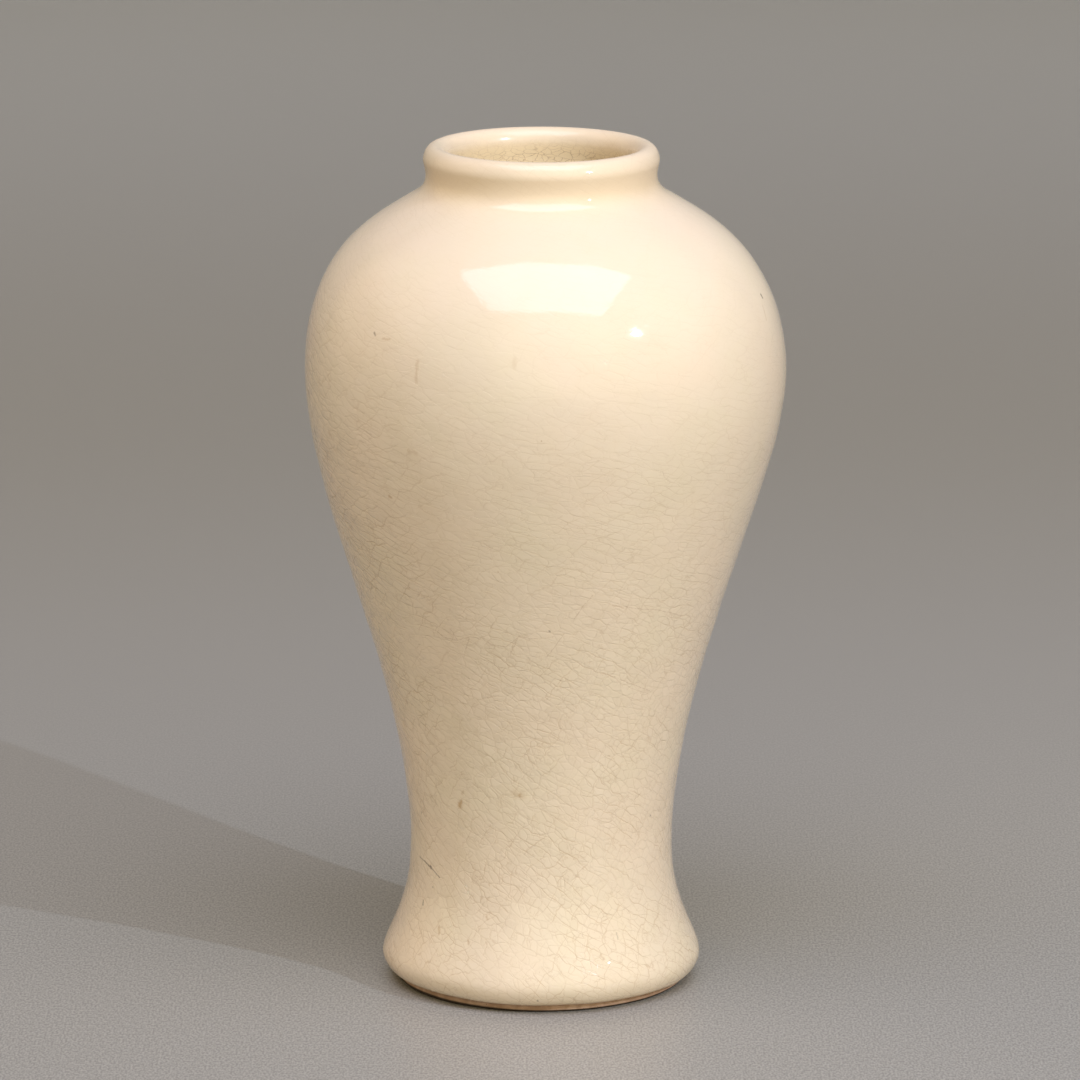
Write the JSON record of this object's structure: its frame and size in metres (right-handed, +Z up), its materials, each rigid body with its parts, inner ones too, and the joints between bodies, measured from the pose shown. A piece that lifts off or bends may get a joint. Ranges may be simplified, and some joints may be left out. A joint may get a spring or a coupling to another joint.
{
  "type": "baluster vase",
  "caption": "Round-shouldered baluster vase with a narrow waist, spread foot and rolled lip, in cream crackle glaze over a luted clay body, for flowers or display.",
  "frame": {"origin": "centre of the foot ring's flat underside, on the surface that the vase stands on", "axes": "+Z up along the axis of turning, towards the mouth; +X to the right and +Y away from the viewer in the picture"},
  "size_m": [0.093, 0.093, 0.165],
  "materials": {
    "fired_clay": "bare fired clay, matt and finely gritty, tan to pinkish brown",
    "luting_slip": "fired slip, matt",
    "crackle_glaze": "glossy cream glaze with a fine grey-tan crackle, a few specks and pinholes",
    "inner_crackle_glaze": "thin cream glaze with a dense brown-stained crackle"
  },
  "bodies": {
    "root": {"lower_body": "fired_clay", "upper_body": "fired_clay", "mouth_ring": "fired_clay", "belly_slip_ring": "luting_slip", "neck_slip_ring": "luting_slip", "outer_glaze": "crackle_glaze", "inner_glaze": "inner_crackle_glaze", "base_glaze": "crackle_glaze"}
  },
  "joints": []
}
